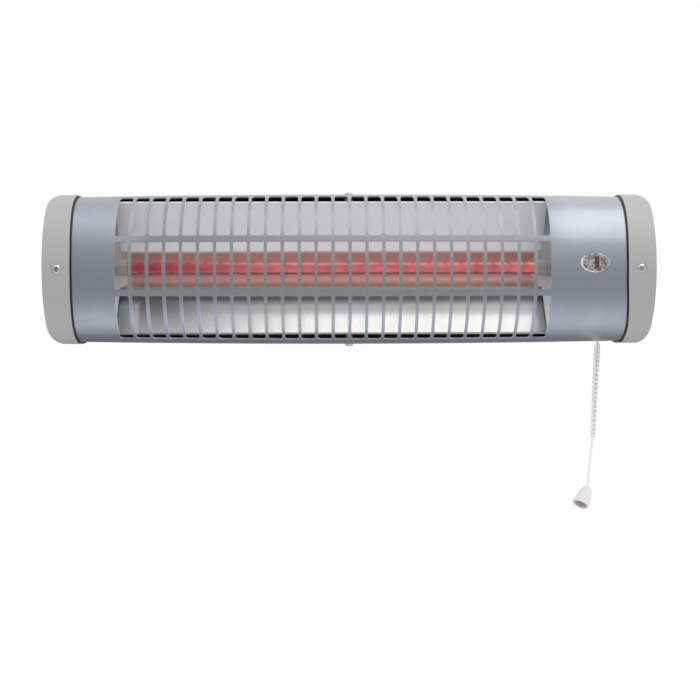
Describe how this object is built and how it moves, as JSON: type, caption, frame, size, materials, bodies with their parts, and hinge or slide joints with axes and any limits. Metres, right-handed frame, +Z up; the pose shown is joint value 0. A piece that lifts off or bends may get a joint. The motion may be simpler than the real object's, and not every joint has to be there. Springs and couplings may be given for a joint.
{
  "type": "wall-mounted infrared heater",
  "caption": "Half-round wall heater with a punched grille, one quartz tube over a trough reflector, pull-cord switch and tilting wall bracket.",
  "frame": {"origin": "middle of the wall bracket's wall face, halfway between its two wall holes", "axes": "+Z up, +X to the right of someone who faces the heater, -Y out of the wall towards that person"},
  "size_m": [0.535, 0.1411, 0.2908],
  "materials": {
    "housing_paint": "metallic silver-blue paint, satin",
    "cap_plastic": "light grey moulded plastic",
    "seal_rubber": "black rubber",
    "cover_steel": "grey painted sheet",
    "zinc_steel": "zinc-plated steel",
    "screw_chrome": "bright plated",
    "reflector_sheet": "polished reflector sheet",
    "quartz": "milky quartz, lit red",
    "coil_wire": "glowing resistance wire",
    "ceramic": "unglazed",
    "black_plastic": "black moulded plastic",
    "lens_clear": "clear prismatic plastic",
    "neon_glass": "neon bulb",
    "switch_plastic": "white moulded plastic",
    "brass": "plain",
    "cord_fibre": "white braided cord",
    "bell_plastic": "white moulded plastic",
    "sleeve": "woven glass sleeve",
    "fibre_washer": "fibre"
  },
  "bodies": {
    "bracket": {"wall_bracket": "zinc_steel"},
    "heater": {"rear_cover": "cover_steel", "rear_cover_screws": "screw_chrome", "tilt_lug_left": "zinc_steel", "tilt_lug_right": "zinc_steel", "lug_rivets": "screw_chrome", "pivot_stud_left": "screw_chrome", "pivot_stud_right": "screw_chrome", "friction_washers": "fibre_washer", "front_housing": "housing_paint", "end_cap_left": "cap_plastic", "end_cap_right": "cap_plastic", "gasket_left": "seal_rubber", "gasket_right": "seal_rubber", "end_frame_left": "zinc_steel", "end_frame_right": "zinc_steel", "cap_screws": "screw_chrome", "housing_screws": "screw_chrome", "reflector_spacers": "zinc_steel", "reflector": "reflector_sheet", "reflector_end_left": "reflector_sheet", "reflector_end_right": "reflector_sheet", "element_saddle_left": "zinc_steel", "element_saddle_right": "zinc_steel", "quartz_tube": "quartz", "heating_coil": "coil_wire", "ceramic_end_left": "ceramic", "ceramic_end_right": "ceramic", "thermal_cutout": "black_plastic", "indicator_lens": "lens_clear", "lens_clip": "black_plastic", "neon_lamp": "neon_glass", "switch_case_back": "switch_plastic", "switch_case_front": "switch_plastic", "switch_terminals": "brass", "return_spring": "zinc_steel", "cord_eyelet": "switch_plastic", "cable_gland": "black_plastic", "terminal_block": "switch_plastic", "terminal_screws": "brass", "earth_screw": "brass", "lead_wire_left": "sleeve", "lead_wire_right": "sleeve"},
    "knob_left": {"tilt_knob_left": "black_plastic"},
    "knob_right": {"tilt_knob_right": "black_plastic"},
    "pull": {"pull_slider": "switch_plastic", "pull_cord_upper": "cord_fibre", "pull_cord_lower": "cord_fibre", "bell": "bell_plastic", "cord_knot": "cord_fibre"},
    "cam": {"switch_cam": "black_plastic"}
  },
  "joints": [
    {"name": "tilt", "type": "hinge", "parent": "bracket", "child": "heater", "pos_m": [0, -0.026, 0], "axis": [1, 0, 0], "range_deg": [0, 30]},
    {"name": "knob_left_turn", "type": "hinge", "parent": "heater", "child": "knob_left", "pos_m": [-0.108, -0.026, 0], "axis": [-1, 0, 0], "range_deg": [0, 360]},
    {"name": "knob_right_turn", "type": "hinge", "parent": "heater", "child": "knob_right", "pos_m": [0.108, -0.026, 0], "axis": [1, 0, 0], "range_deg": [0, 360]},
    {"name": "pull_travel", "type": "slide", "parent": "heater", "child": "pull", "axis": [0, 0, -1], "range_m": [0, 0.008], "stiffness_N_per_m": 700, "springref_m": -0.004, "deforming": ["return_spring"]},
    {"name": "cam_turn", "type": "hinge", "parent": "heater", "child": "cam", "pos_m": [0.2145, -0.058, -0.0392], "axis": [0, 1, 0], "range_deg": [0, 46]}
  ],
  "couplings": [
    {"joint": "cam_turn", "follows": "pull_travel", "rad_per_m": 98.17}
  ]
}
